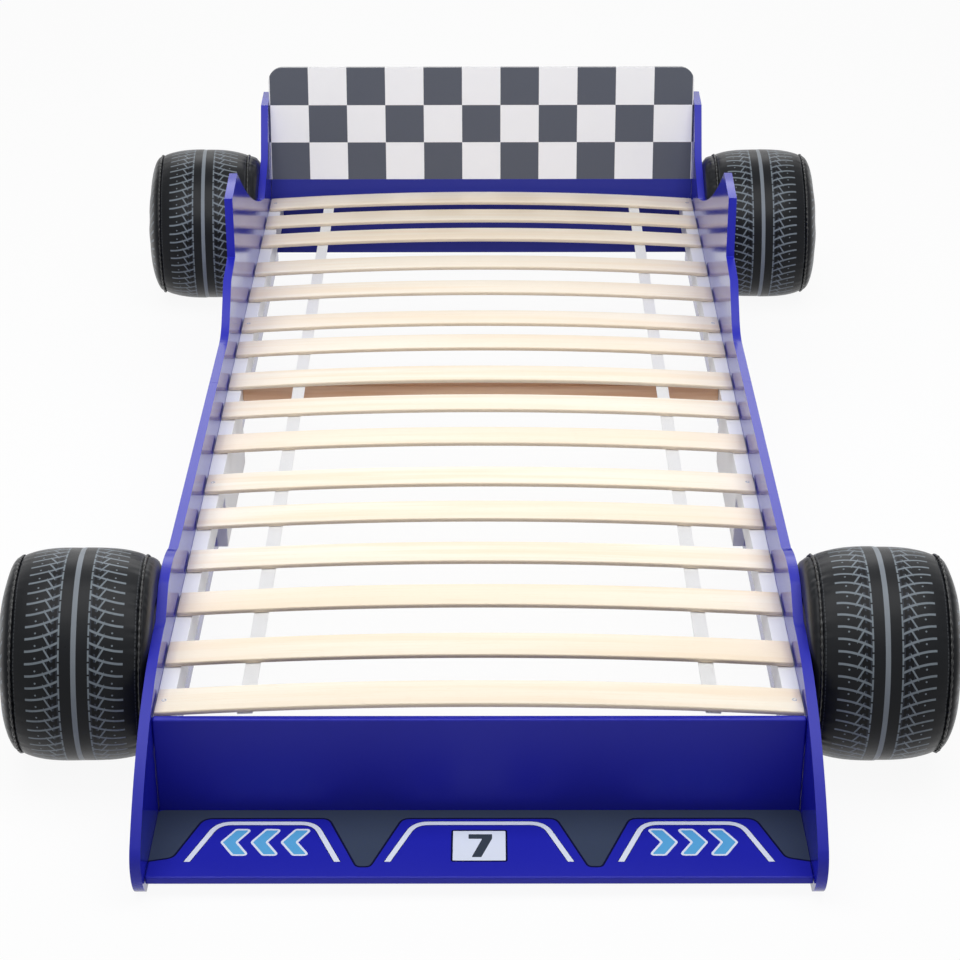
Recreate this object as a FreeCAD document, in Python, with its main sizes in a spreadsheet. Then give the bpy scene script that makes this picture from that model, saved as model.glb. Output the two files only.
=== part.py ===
import FreeCAD, Part
import math
import os
import Sketcher
from FreeCAD import Placement, Rotation, Vector

# Child's car bed: a boarded bay for a 900 x 2000 mattress between two cut-out side panels,
# with a leaning headboard, a low footboard, a nose tray, a sprung slat base and four stuffed wheels.
#
# Millimetres. +Z is up and +Y runs from the nose to the headboard. The origin is on the floor,
# below the middle of the overall length and width. Stations along the bed are measured from the
# footboard's inner face, and heights from the floor.

DIMENSIONS = {
    # bay
    "mattress_width": 900,
    "mattress_length": 2000,
    "width_play": 15,
    "length_play": 16,
    "seat_height": 180,
    # boards
    "board": 15,
    "cross_board": 12,
    "board_gap": 0.3,
    # side panels: nose
    "nose_reach": 190,
    "nose_foot": 159,
    "nose_foot_curve": 70,
    "nose_tip_height": 58,
    "nose_brow_curve": 45,
    "nose_brow": 178,
    "nose_brow_height": 87,
    "nose_curve": 488,
    "nose_end": 176,
    "nose_end_height": 230,
    # side panels: hump beside the front wheel, and the level sill behind it
    "hump_start": 223,
    "hump_start_height": 262,
    "hump_curve": 190,
    "hump_end": 344,
    "sill_height": 257,
    "seam": 926,
    "seam_play": 0.2,
    # side panels: shoulder and fin beside the sleeper's chest
    "step_start": 160,
    "step_curve_end": 220,
    "step_curve_height": 280,
    "step_curve": 90,
    "step_end": 275,
    "step_end_height": 332,
    "shoulder": 358,
    "shoulder_height": 345,
    "fin_front": 364,
    "fin_front_height": 458,
    "fin_peak": 465,
    "fin_peak_height": 470,
    "fin_slope_curve": 1500,
    # side panels: dip at the rear wheel and the end plate
    "dip_back": 153,
    "dip_height": 239,
    "plate_foot_back": 43,
    "plate_foot_height": 288,
    "plate_lean_back": 12,
    "plate_top_height": 388,
    "tail_reach": 85,
    "tail_height": 394,
    # headboard, footboard and nose tray
    "headboard_lean": 10,
    "headboard_rise": 284,
    "headboard_drop": 120,
    "headboard_corner": 30,
    "footboard_height": 184,
    "tray_depth": 156,
    "tray_height": 31,
    # rails, splice plates and cross beam
    "rail_width": 25,
    "rail_height": 46,
    "splice_thickness": 19,
    "splice_front": 145,
    "splice_back": 172,
    "splice_foot": 10,
    "beam_back": 145,
    "beam_depth": 25,
    "beam_height": 30,
    # slat base
    "slat_count": 16,
    "slat_width": 60,
    "slat_thickness": 8,
    "slat_bow": 15.5,
    "slat_end_play": 2,
    "slat_first": 1,
    "slat_last": 15,
    "strap_width": 22,
    "strap_thickness": 1.5,
    "strap_spread": 328,
    # wheels
    "wheel_radius": 157.5,
    "wheel_lift": 0.5,
    "wheel_front": 202,
    "wheel_rear_back": 92,
    "wheel_inner_seam": 15.5,
    "wheel_tread": 184,
    "tread_flat": 104,
    "wheel_bulge": 30,
    "seam_radius": 144.5,
    "wheel_outer_flat": 80,
    "soft_gap": 0.3,
    "hub_size": 170,
    "hub_corner": 50,
    "hub_thickness": 12,
    "hub_rise": 53,
    # wheel bolts and beam brackets
    "bolt_shank": 3,
    "bolt_head": 7,
    "bolt_head_height": 4,
    "bolt_gap": 0.1,
    "bolt_spread": 45,
    "bolt_below_rail": 29,
    "bracket_leg": 40,
    "bracket_width": 16,
    "bracket_thickness": 2,
}

# how far each slat, from the headboard on, lies towards the headboard from an even spacing
SLAT_DRIFTS = [-5, 21, 44, 23, 24, 6, 24, 15, 24, 24, 6, 16, 10, 9, -2, 0]
DIMENSIONS.update({f"slat_drift_{i:02d}": drift for i, drift in enumerate(SLAT_DRIFTS, start=1)})

# straight facets that stand for the curve of a stuffed wheel's outer face
BULGE_FACETS = 2


class Size:
    """A number together with the spreadsheet formula that it comes from."""

    def __init__(self, value, formula):
        self.value = float(value)
        self.formula = formula

    def combine(self, other, sign, result):
        return Size(result, f"({self.formula} {sign} {as_size(other).formula})")

    def __add__(self, other):
        return self.combine(other, "+", self.value + as_size(other).value)

    def __sub__(self, other):
        return self.combine(other, "-", self.value - as_size(other).value)

    def __mul__(self, other):
        return self.combine(other, "*", self.value * as_size(other).value)

    def __truediv__(self, other):
        return self.combine(other, "/", self.value / as_size(other).value)

    def __neg__(self):
        return Size(0, "0") - self

    def __radd__(self, other):
        return as_size(other) + self

    def __rsub__(self, other):
        return as_size(other) - self

    def __rmul__(self, other):
        return as_size(other) * self


def as_size(number):
    return number if isinstance(number, Size) else Size(number, str(number))


doc = FreeCAD.newDocument("CarBed")
sheet = doc.addObject("Spreadsheet::Sheet", "Sizes")
D = {}
for row, (alias, number) in enumerate(DIMENSIONS.items(), start=1):
    sheet.set(f"A{row}", alias)
    sheet.set(f"B{row}", str(number))
    sheet.setAlias(f"B{row}", alias)
    D[alias] = Size(number, f"Sizes.{alias}")
doc.recompute()


# ---------------------------------------------------------------- shared places

inner_width = D["mattress_width"] + D["width_play"]
half_bay = inner_width / 2
bay_length = D["mattress_length"] + D["length_play"]
panel_outer = half_bay + D["board"]
# station of the footboard's inner face in the model's own Y
foot_y = (D["nose_reach"] - bay_length - D["tail_reach"]) / 2
board_width = inner_width - 2 * D["board_gap"]
lean_run = math.tan(math.radians(D["headboard_lean"].value))
rail_half_gap = half_bay - D["rail_width"]
rail_bottom = D["seat_height"] - D["rail_height"]
bolt_hole = D["bolt_shank"] + D["bolt_gap"]
bolt_height = rail_bottom - D["bolt_below_rail"]
hub_height = bolt_height + D["hub_rise"]
wheel_stations = {"front": D["wheel_front"], "rear": bay_length - D["wheel_rear_back"]}
wheel_axis_height = D["wheel_radius"] + D["wheel_lift"]
SIDES = {"left": -1, "right": 1}


# ---------------------------------------------------------------- helpers

def new_body(label):
    body = doc.addObject("PartDesign::Body", label)
    body.Label = label
    return body


def place(body, x=0, y=0, z=0):
    """Move a body, with each coordinate bound to the sheet. y is a station along the bed."""
    for axis, amount in (("x", as_size(x)), ("y", foot_y + y), ("z", as_size(z))):
        body.setExpression(f"Placement.Base.{axis}", amount.formula)


def sketch_on(body, role, name):
    sketch = body.newObject("Sketcher::SketchObject", name)
    plane = [f for f in body.Origin.OriginFeatures if f.Role == role][0]
    sketch.AttachmentSupport = (plane, [""])
    sketch.MapMode = "FlatFace"
    return sketch


def bind(sketch, kind, size, *where):
    """Add a dimension to the sketch and bind it to its formula."""
    index = sketch.addConstraint(Sketcher.Constraint(kind, *where, size.value))
    sketch.setExpression(f"Constraints[{index}]", size.formula)


def arc_between(start, end, radius, bulge):
    """Arc from start to end whose curve lies to the left (+1) or right (-1) of its chord."""
    chord = end - start
    rise = math.sqrt(max(radius**2 - (chord.Length / 2) ** 2, 0))
    left = Vector(-chord.y, chord.x, 0).normalize()
    centre = (start + end) / 2 - left * rise * bulge
    first, second = (end, start) if bulge > 0 else (start, end)
    angle = math.atan2(first.y - centre.y, first.x - centre.x)
    sweep = math.atan2(second.y - centre.y, second.x - centre.x)
    circle = Part.Circle(centre, Vector(0, 0, 1), radius)
    return Part.ArcOfCircle(circle, angle, sweep if sweep > angle else sweep + 2 * math.pi)


def outline(sketch, corners):
    """Closed outline. Each corner is (x, y) or (x, y, radius, bulge) for an arc to the next one."""
    points = [Vector(as_size(c[0]).value, as_size(c[1]).value, 0) for c in corners]
    ends = []
    for i, corner in enumerate(corners):
        here = points[i]
        after = points[(i + 1) % len(points)]
        if len(corner) == 2:
            geo = sketch.addGeometry(Part.LineSegment(here, after), False)
            ends.append((geo, 1, 2))
        else:
            arc = arc_between(here, after, corner[2].value, corner[3])
            geo = sketch.addGeometry(arc, False)
            ends.append((geo, 2, 1) if corner[3] > 0 else (geo, 1, 2))
    for i, (geo, start, end) in enumerate(ends):
        after = ends[(i + 1) % len(ends)]
        sketch.addConstraint(Sketcher.Constraint("Coincident", geo, end, after[0], after[1]))
    for corner, (geo, start, end) in zip(corners, ends):
        bind(sketch, "DistanceX", as_size(corner[0]), -1, 1, geo, start)
        bind(sketch, "DistanceY", as_size(corner[1]), -1, 1, geo, start)
        if len(corner) > 2:
            bind(sketch, "Radius", corner[2], geo)


def rectangle(sketch, low_x, low_y, high_x, high_y):
    outline(sketch, [(low_x, low_y), (high_x, low_y), (high_x, high_y), (low_x, high_y)])


def circle(sketch, x, y, radius):
    centre = Vector(as_size(x).value, as_size(y).value, 0)
    geo = sketch.addGeometry(Part.Circle(centre, Vector(0, 0, 1), radius.value), False)
    bind(sketch, "DistanceX", as_size(x), -1, 1, geo, 3)
    bind(sketch, "DistanceY", as_size(y), -1, 1, geo, 3)
    bind(sketch, "Radius", radius, geo)


def pad(body, sketch, length, backwards=False):
    feature = body.newObject("PartDesign::Pad", f"{body.Name}_pad")
    feature.Profile = sketch
    feature.setExpression("Length", as_size(length).formula)
    feature.Reversed = backwards
    doc.recompute()
    return feature


def pocket(body, sketch, depth, outwards):
    """Cut the sketch into the body, towards +X, +Y or +Z of its plane if outwards."""
    feature = body.newObject("PartDesign::Pocket", f"{sketch.Name}_pocket")
    feature.Profile = sketch
    feature.setExpression("Length", as_size(depth).formula)
    feature.Reversed = outwards
    doc.recompute()
    return feature


def fillet(body, base, radius, chosen):
    """Round the edges of a feature that chosen(edge) picks."""
    names = [f"Edge{i}" for i, e in enumerate(base.Shape.Edges, start=1) if chosen(e)]
    feature = body.newObject("PartDesign::Fillet", f"{body.Name}_fillet")
    feature.Base = (base, names)
    feature.setExpression("Radius", radius.formula)
    doc.recompute()


def plank(label, width, depth, height, x, y, z):
    """Square-edged timber: a rectangle in plan, padded upwards."""
    body = new_body(label)
    sketch = sketch_on(body, "XY_Plane", f"{label}_plan")
    rectangle(sketch, 0, 0, as_size(width), as_size(depth))
    pad(body, sketch, height)
    place(body, x, y, z)
    return body


# ---------------------------------------------------------------- side panels

def front_panel_corners():
    seam = D["seam"] - D["seam_play"]
    return [
        (-D["nose_foot"], 0),
        (seam, 0),
        (seam, D["sill_height"]),
        (D["hump_end"], D["sill_height"], D["hump_curve"], -1),
        (D["hump_start"], D["hump_start_height"]),
        (D["nose_end"], D["nose_end_height"], D["nose_curve"], -1),
        (-D["nose_brow"], D["nose_brow_height"], D["nose_brow_curve"], -1),
        (-D["nose_reach"], D["nose_tip_height"], D["nose_foot_curve"], -1),
    ]


def rear_panel_corners():
    seam = D["seam"] + D["seam_play"]
    tail = bay_length + D["tail_reach"]
    plate_top = bay_length + D["plate_lean_back"]
    return [
        (seam, 0),
        (tail, 0),
        (tail, D["tail_height"]),
        (plate_top, D["plate_top_height"]),
        (bay_length - D["plate_foot_back"], D["plate_foot_height"]),
        (bay_length - D["dip_back"], D["dip_height"], D["fin_slope_curve"], 1),
        (seam + D["fin_peak"], D["fin_peak_height"]),
        (seam + D["fin_front"], D["fin_front_height"]),
        (seam + D["shoulder"], D["shoulder_height"]),
        (seam + D["step_end"], D["step_end_height"]),
        (seam + D["step_curve_end"], D["step_curve_height"], D["step_curve"], 1),
        (seam + D["step_start"], D["sill_height"]),
        (seam, D["sill_height"]),
    ]


def side_panel(end, side_name, side):
    """Half of one side, cut from flat board, with the bolt holes of its wheel."""
    body = new_body(f"side_panel_{end}_{side_name}")
    sketch = sketch_on(body, "YZ_Plane", f"{body.Name}_outline")
    outline(sketch, front_panel_corners() if end == "front" else rear_panel_corners())
    for way in (-1, 1):
        along = wheel_stations[end] + way * D["bolt_spread"]
        circle(sketch, along, bolt_height, bolt_hole)
    pad(body, sketch, D["board"])
    place(body, half_bay if side > 0 else -panel_outer)
    return body


# ---------------------------------------------------------------- cross boards

def headboard():
    body = new_body("headboard")
    sketch = sketch_on(body, "XZ_Plane", "headboard_outline")
    rectangle(sketch, -board_width / 2, -D["headboard_drop"], board_width / 2, D["headboard_rise"])
    board = pad(body, sketch, D["board"], backwards=True)
    top = D["headboard_rise"].value

    def top_corner(edge):
        points = [v.Point for v in edge.Vertexes]
        level = all(abs(p.z - top) < 0.01 for p in points)
        return level and abs(points[0].x - points[-1].x) < 0.01

    fillet(body, board, D["headboard_corner"], top_corner)
    body.Placement = Placement(Vector(), Rotation(Vector(1, 0, 0), -D["headboard_lean"].value))
    body.setExpression("Placement.Rotation.Angle", "-1 * " + D["headboard_lean"].formula)
    place(body, 0, bay_length, D["seat_height"])
    return body


def footboard():
    body = new_body("footboard")
    sketch = sketch_on(body, "XZ_Plane", "footboard_outline")
    low = D["tray_height"] - D["cross_board"]
    rectangle(sketch, -board_width / 2, low, board_width / 2, D["footboard_height"])
    pad(body, sketch, D["cross_board"])
    place(body)
    return body


def nose_tray():
    low = D["tray_height"] - D["cross_board"]
    front = -D["cross_board"] - D["tray_depth"]
    return plank("nose_tray", board_width, D["tray_depth"], D["cross_board"], -board_width / 2, front, low)


# ---------------------------------------------------------------- rails, splices and beam

def rail(end, side_name, side):
    """Ledger that carries the slat ends. The rear one stops short of the leaning headboard."""
    body = new_body(f"rail_{end}_{side_name}")
    rear_end = bay_length - D["rail_height"] * lean_run - D["board_gap"]
    start = as_size(0) if end == "front" else D["seam"] + D["seam_play"]
    stop = D["seam"] - D["seam_play"] if end == "front" else rear_end
    sketch = sketch_on(body, "XZ_Plane", f"{body.Name}_section")
    inner = rail_half_gap if side > 0 else -half_bay
    rectangle(sketch, inner, rail_bottom, inner + D["rail_width"], D["seat_height"])
    pad(body, sketch, stop - start, backwards=True)
    place(body, 0, start)
    return body


def splice_plate(side_name, side):
    inner = half_bay - D["splice_thickness"] if side > 0 else -half_bay
    length = D["splice_front"] + D["splice_back"]
    height = rail_bottom - D["splice_foot"]
    start = D["seam"] - D["splice_front"]
    label = f"splice_plate_{side_name}"
    return plank(label, D["splice_thickness"], length, height, inner, start, D["splice_foot"])


def cross_beam():
    reach = rail_half_gap - D["board_gap"]
    start = D["seam"] + D["beam_back"]
    low = D["seat_height"] - D["beam_height"]
    return plank("cross_beam", 2 * reach, D["beam_depth"], D["beam_height"], -reach, start, low)


# ---------------------------------------------------------------- slat base

slat_half = half_bay - D["slat_end_play"]
slat_pitch = bay_length - D["slat_first"] - D["slat_last"] - D["slat_width"]
slat_pitch = slat_pitch / (D["slat_count"] - 1)
bow_radius = (slat_half * slat_half + D["slat_bow"] * D["slat_bow"]) / (2 * D["slat_bow"])


def slat(number):
    """Sprung slat, numbered from the headboard: a flat strip bowed upwards across the bed."""
    body = new_body(f"slat_{number:02d}")
    sketch = sketch_on(body, "XZ_Plane", f"{body.Name}_section")
    outline(sketch, [
        (-slat_half, 0, bow_radius, 1),
        (slat_half, 0),
        (slat_half, D["slat_thickness"], bow_radius, -1),
        (-slat_half, D["slat_thickness"]),
    ])
    pad(body, sketch, D["slat_width"], backwards=True)
    step = D["slat_count"] - number
    drift = D.get(f"slat_drift_{number:02d}", 0)
    place(body, 0, D["slat_first"] + slat_pitch * step + drift, D["seat_height"])
    return body


def strap(side_name, side):
    """Webbing under the slats. It lies tangent to the underside of their bow."""
    body = new_body(f"strap_{side_name}")
    sketch = sketch_on(body, "XZ_Plane", f"{body.Name}_section")
    half = D["strap_width"] / 2
    rectangle(sketch, -half, -D["strap_thickness"], half, 0)
    length = slat_pitch * (D["slat_count"] - 1) + D["slat_width"]
    pad(body, sketch, length, backwards=True)
    radius = bow_radius.value
    spread = D["strap_spread"].value
    fall = math.degrees(math.asin(spread / radius))
    drop = radius - math.sqrt(radius**2 - spread**2)
    height = D["seat_height"] + D["slat_bow"] - drop - D["soft_gap"]
    body.Placement = Placement(Vector(), Rotation(Vector(0, 1, 0), side * fall))
    place(body, side * D["strap_spread"], D["slat_first"], height)
    return body


# ---------------------------------------------------------------- wheels

def turned(body, sketch):
    feature = body.newObject("PartDesign::Revolution", f"{body.Name}_revolution")
    feature.Profile = sketch
    feature.ReferenceAxis = (sketch, ["H_Axis"])
    feature.Angle = 360
    doc.recompute()
    return feature


def wheel_profile(side):
    """Half section of a stuffed wheel, as (distance from its panel, distance from its axis)."""
    inner_seam = D["wheel_inner_seam"]
    outer_seam = inner_seam + D["wheel_tread"]
    shoulder = (D["wheel_tread"] - D["tread_flat"]) / 2
    fall = D["seam_radius"] - D["wheel_outer_flat"]
    corners = [
        (D["soft_gap"], 0),
        (D["soft_gap"], D["seam_radius"]),
        (inner_seam, D["seam_radius"]),
        (inner_seam + shoulder, D["wheel_radius"]),
        (outer_seam - shoulder, D["wheel_radius"]),
        (outer_seam, D["seam_radius"]),
    ]
    for i in range(1, BULGE_FACETS + 1):
        turn = math.radians(90 * i / BULGE_FACETS)
        out = outer_seam + D["wheel_bulge"] * math.sin(turn)
        corners.append((out, D["wheel_outer_flat"] + fall * math.cos(turn)))
    corners.append((outer_seam + D["wheel_bulge"], 0))
    return [(side * out, radius) for out, radius in corners]


def hub_corners(clearance, rise):
    """Square board with its corners cut off, its middle that far above the sketch's origin."""
    half = D["hub_size"] / 2 + clearance
    cut = half - D["hub_corner"]
    return [
        (-half, rise - cut), (-cut, rise - half), (cut, rise - half), (half, rise - cut),
        (half, rise + cut), (cut, rise + half), (-cut, rise + half), (-half, rise + cut),
    ]


def wheel_cushion(end, side_name, side):
    """Stuffed wheel: a barrel tread between two seams, a bulging face and a recess for its hub."""
    body = new_body(f"wheel_{end}_{side_name}")
    sketch = sketch_on(body, "XY_Plane", f"{body.Name}_profile")
    outline(sketch, wheel_profile(side))
    turned(body, sketch)
    recess = sketch_on(body, "YZ_Plane", f"{body.Name}_recess")
    outline(recess, hub_corners(D["soft_gap"], hub_height - wheel_axis_height))
    pocket(body, recess, D["hub_thickness"] + D["soft_gap"], outwards=side > 0)
    place(body, side * panel_outer, wheel_stations[end], wheel_axis_height)
    return body


def hub_board(end, side_name, side):
    """Plywood board in the wheel's inner face, by which the wheel is bolted to its panel."""
    body = new_body(f"wheel_hub_{end}_{side_name}")
    sketch = sketch_on(body, "YZ_Plane", f"{body.Name}_plan")
    outline(sketch, hub_corners(as_size(0), as_size(0)))
    for along in (-1, 1):
        circle(sketch, along * D["bolt_spread"], -D["hub_rise"], bolt_hole)
    pad(body, sketch, D["hub_thickness"], backwards=side < 0)
    place(body, side * panel_outer, wheel_stations[end], hub_height)
    return body


# ---------------------------------------------------------------- bolts and brackets

def hex_bolt(name, side, along, height):
    """Bolt from the inside face of a side panel, through it, to the far face of the hub board."""
    turn = Rotation(Vector(0, 1, 0), 90 * side)
    shank = doc.addObject("Part::Cylinder", f"{name}_shank")
    shank.setExpression("Radius", D["bolt_shank"].formula)
    shank.setExpression("Height", (D["board"] + D["hub_thickness"]).formula)
    head = doc.addObject("Part::Prism", f"{name}_head")
    head.Polygon = 6
    head.setExpression("Circumradius", D["bolt_head"].formula)
    head.setExpression("Height", D["bolt_head_height"].formula)
    for part, inset in ((shank, as_size(0)), (head, D["bolt_head_height"])):
        part.Placement = Placement(Vector(), turn)
        place(part, side * (half_bay - inset), along, height)
    bolt = doc.addObject("Part::Fuse", name)
    bolt.Base = shank
    bolt.Tool = head
    return bolt


def group(label, members):
    """Identical pieces in one node, as separate solids."""
    compound = doc.addObject("Part::Compound", label)
    compound.Label = label
    compound.Links = members
    return compound


def wheel_bolts():
    bolts = []
    for side_name, side in SIDES.items():
        for end, station in wheel_stations.items():
            for way in (-1, 1):
                name = f"bolt_{end}_{side_name}_{'fore' if way < 0 else 'aft'}"
                bolts.append(hex_bolt(name, side, station + way * D["bolt_spread"], bolt_height))
    return group("wheel_bolts", bolts)


def beam_bracket(side_name, side):
    """Steel angle under one end of the cross beam, against the rail's inner face."""
    body = new_body(f"bracket_{side_name}")
    sketch = sketch_on(body, "XZ_Plane", f"{body.Name}_section")
    top = D["seat_height"] - D["beam_height"]
    thick = D["bracket_thickness"]
    outline(sketch, [
        (side * rail_half_gap, top),
        (side * (rail_half_gap - D["bracket_leg"]), top),
        (side * (rail_half_gap - D["bracket_leg"]), top - thick),
        (side * (rail_half_gap - thick), top - thick),
        (side * (rail_half_gap - thick), rail_bottom),
        (side * rail_half_gap, rail_bottom),
    ])
    pad(body, sketch, D["bracket_width"], backwards=True)
    middle = D["seam"] + D["beam_back"] + (D["beam_depth"] - D["bracket_width"]) / 2
    place(body, 0, middle)
    return body


# ---------------------------------------------------------------- assembly

pieces = []
for side_name, side in SIDES.items():
    for end in ("front", "rear"):
        pieces.append(side_panel(end, side_name, side))
        pieces.append(rail(end, side_name, side))
        pieces.append(wheel_cushion(end, side_name, side))
        pieces.append(hub_board(end, side_name, side))
    pieces.append(splice_plate(side_name, side))
    pieces.append(strap(side_name, side))
pieces += [headboard(), footboard(), nose_tray(), cross_beam(), wheel_bolts()]
pieces.append(group("beam_brackets", [beam_bracket(*item) for item in SIDES.items()]))
for number in range(1, int(D["slat_count"].value) + 1):
    pieces.append(slat(number))

doc.recompute()
for thing in doc.Objects:
    if "Invalid" in thing.State or "Error" in thing.State:
        raise RuntimeError(f"{thing.Name} did not compute: {thing.State}")
os.makedirs("parts", exist_ok=True)
for piece in pieces:
    shape = piece.Shape
    if shape.isNull() or not shape.isValid():
        raise RuntimeError(f"{piece.Label} has no valid shape")
    shape.exportStep(f"parts/{piece.Label}.step")
print(len(pieces), "nodes")
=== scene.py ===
import math

import bmesh
import bpy
from mathutils import Matrix, Vector

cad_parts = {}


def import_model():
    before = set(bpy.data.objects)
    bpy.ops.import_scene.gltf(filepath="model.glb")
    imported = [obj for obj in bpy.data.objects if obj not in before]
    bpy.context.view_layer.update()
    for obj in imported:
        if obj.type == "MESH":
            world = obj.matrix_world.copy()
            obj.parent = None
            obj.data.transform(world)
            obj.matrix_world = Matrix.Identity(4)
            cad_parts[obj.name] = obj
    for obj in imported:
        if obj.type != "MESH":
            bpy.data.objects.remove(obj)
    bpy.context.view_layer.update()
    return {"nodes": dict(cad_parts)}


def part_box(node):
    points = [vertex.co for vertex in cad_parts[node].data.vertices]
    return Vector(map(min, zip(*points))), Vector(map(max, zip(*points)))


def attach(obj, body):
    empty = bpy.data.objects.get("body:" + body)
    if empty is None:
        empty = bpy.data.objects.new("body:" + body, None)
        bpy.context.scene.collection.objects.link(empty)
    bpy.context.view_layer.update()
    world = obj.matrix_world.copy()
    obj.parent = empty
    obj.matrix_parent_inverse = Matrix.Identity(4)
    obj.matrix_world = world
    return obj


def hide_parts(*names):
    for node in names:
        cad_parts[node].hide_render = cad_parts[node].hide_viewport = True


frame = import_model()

NODES = frame["nodes"]
MM = 0.001


# ======== sizes read from the frame

def low(node):
    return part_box(node)[0]


def high(node):
    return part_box(node)[1]


FOOT_Y = high("footboard").y  # inner face of the footboard
PANEL_OUT = high("side_panel_front_right").x
SEAT = low("slat_01").z  # top of the rails
TRAY_TOP = high("nose_tray").z
TRAY_BACK = low("footboard").y  # front face of the footboard, where the tray starts
SLATS = sorted(n for n in NODES if n.startswith("slat_"))
WHEELS = sorted(n for n in NODES if n.startswith("wheel_") and "hub" not in n and "bolts" not in n)


# ======== material helpers

def rgb(red, green, blue):
    """A colour given in screen values of 0 to 255, as Blender's linear numbers."""
    def channel(value):
        value /= 255
        return value / 12.92 if value <= 0.04045 else ((value + 0.055) / 1.055) ** 2.4
    return (channel(red), channel(green), channel(blue), 1.0)


class Shader:
    """A node material. Inputs may be numbers, colours or other nodes' outputs."""

    def __init__(self, name, **sockets):
        self.material = bpy.data.materials.new(name)
        self.material.use_nodes = True
        self.tree = self.material.node_tree
        self.bsdf = self.tree.nodes["Principled BSDF"]
        self.finish(**sockets)

    def finish(self, **sockets):
        """Sets sockets of the shader itself, named with underscores for spaces."""
        self.set(self.bsdf, {key.replace("_", " "): value for key, value in sockets.items()})
        return self.material

    def set(self, node, inputs):
        for key, value in inputs.items():
            socket = node.inputs[key]
            if isinstance(value, bpy.types.NodeSocket):
                self.tree.links.new(value, socket)
            else:
                socket.default_value = value

    def add(self, kind, inputs=None, **settings):
        node = self.tree.nodes.new(f"ShaderNode{kind}")
        for key, value in settings.items():
            setattr(node, key, value)
        self.set(node, inputs or {})
        return node

    def math(self, operation, first, second=0.0, third=0.0, clamp=False):
        node = self.add("Math", {0: first, 1: second, 2: third}, operation=operation)
        node.use_clamp = clamp
        return node.outputs[0]

    def times(self, first, second):
        return self.math("MULTIPLY", first, second)

    def plus(self, first, second):
        return self.math("ADD", first, second)

    def minus(self, first, second):
        return self.math("SUBTRACT", first, second)

    def most(self, first, *others):
        for other in others:
            first = self.math("MAXIMUM", first, other)
        return first

    def vary(self, value, base, spread):
        """From base to base plus spread, as the value goes from 0 to 1."""
        return self.math("MULTIPLY_ADD", value, spread, base)

    def nearest(self, value):
        """Distance to the nearest whole number."""
        return self.math("PINGPONG", value, 0.5)

    def step(self, value, start, end):
        """0 up to start, 1 from end, smooth between. Falls instead where start is above end."""
        node = self.add("MapRange", {"Value": value, "From Min": start, "From Max": end})
        node.interpolation_type = "SMOOTHSTEP"
        return node.outputs[0]

    def between(self, value, start, end, soft):
        """1 from start to end and 0 outside, each edge softened to both sides."""
        rise = self.step(value, start - soft, start + soft)
        fall = self.step(value, end + soft, end - soft)
        return self.times(rise, fall)

    def mix(self, factor, first, second):
        node = self.add("Mix", {0: factor, 6: first, 7: second}, data_type="RGBA")
        return node.outputs[2]

    def place(self, kind="Object"):
        return self.add("TexCoord").outputs[kind]

    def stretch(self, vector, scale):
        return self.add("Mapping", {"Vector": vector, "Scale": scale}).outputs[0]

    def axes(self, vector):
        node = self.add("SeparateXYZ", {0: vector})
        return node.outputs[0], node.outputs[1], node.outputs[2]

    def noise(self, vector, scale, detail=2.0, roughness=0.5):
        sockets = {"Vector": vector, "Scale": scale, "Detail": detail, "Roughness": roughness}
        return self.add("TexNoise", sockets).outputs["Fac"]

    def grain(self, vector, scale, detail, roughness=0.5):
        """Noise of its own scale along each axis."""
        return self.noise(self.stretch(vector, scale), 1.0, detail, roughness)

    def ramp(self, factor, *stops):
        node = self.add("ValToRGB", {0: factor})
        elements = node.color_ramp.elements
        while len(elements) < len(stops):
            elements.new(1.0)
        for element, (position, colour) in zip(elements, stops):
            element.position = position
            element.color = colour
        return node.outputs[0]

    def bump(self, height, distance, strength=1.0, normal=None):
        sockets = {"Height": height, "Distance": distance, "Strength": strength}
        if normal is not None:
            sockets["Normal"] = normal
        return self.add("Bump", sockets).outputs[0]


# ======== board materials

LACQUER_IOR = 1.36
BLUE = rgb(34, 38, 176)
BLUE_DEEP = rgb(30, 34, 168)
# the headboard's blue is a darker copy of the lacquer blue: painted shade
HEADBOARD_SHADED_BLUE = rgb(40, 46, 142)


def lacquer_skin(shader):
    """Place, roughness and normal of sprayed lacquer with a faint orange peel, for the blue boards.

    Satin lacquer blurs what it mirrors straight on and mirrors sharply at a glance.
    """
    place = shader.place()
    glance = shader.add("LayerWeight", {"Blend": 0.5}).outputs["Facing"]
    satin = shader.step(glance, 0.75, 0.15)
    haze = shader.noise(place, scale=9.0, detail=3.0)
    peel = shader.noise(place, scale=420.0, detail=1.0)
    swell = shader.noise(place, scale=26.0, detail=1.0)
    rough = shader.vary(haze, base=0.11, spread=0.06)
    rough = shader.vary(satin, base=rough, spread=0.28)
    normal = shader.bump(swell, distance=0.00022, strength=0.5)
    normal = shader.bump(peel, distance=0.000018, strength=0.6, normal=normal)
    return place, rough, normal


def lacquer_material():
    shader = Shader("blue_lacquer", IOR=LACQUER_IOR)
    place, rough, normal = lacquer_skin(shader)
    colour = shader.mix(shader.noise(place, scale=3.5), BLUE_DEEP, BLUE)
    return shader.finish(Base_Color=colour, Roughness=rough, Normal=normal)


# the checker's squares, in metres across the board and up its slope from seat level
CHECKER_COLUMN = 0.0827
CHECKER_ROW = 0.08037
CHECKER_LEFT = -0.45485
CHECKER_FOOT = 0.0426
CHECKER_EDGE = 0.0002
CHECKER_LIFT = 40.0  # an even number that keeps the count of squares above 0
HEADBOARD_LEAN = math.radians(10)


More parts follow.
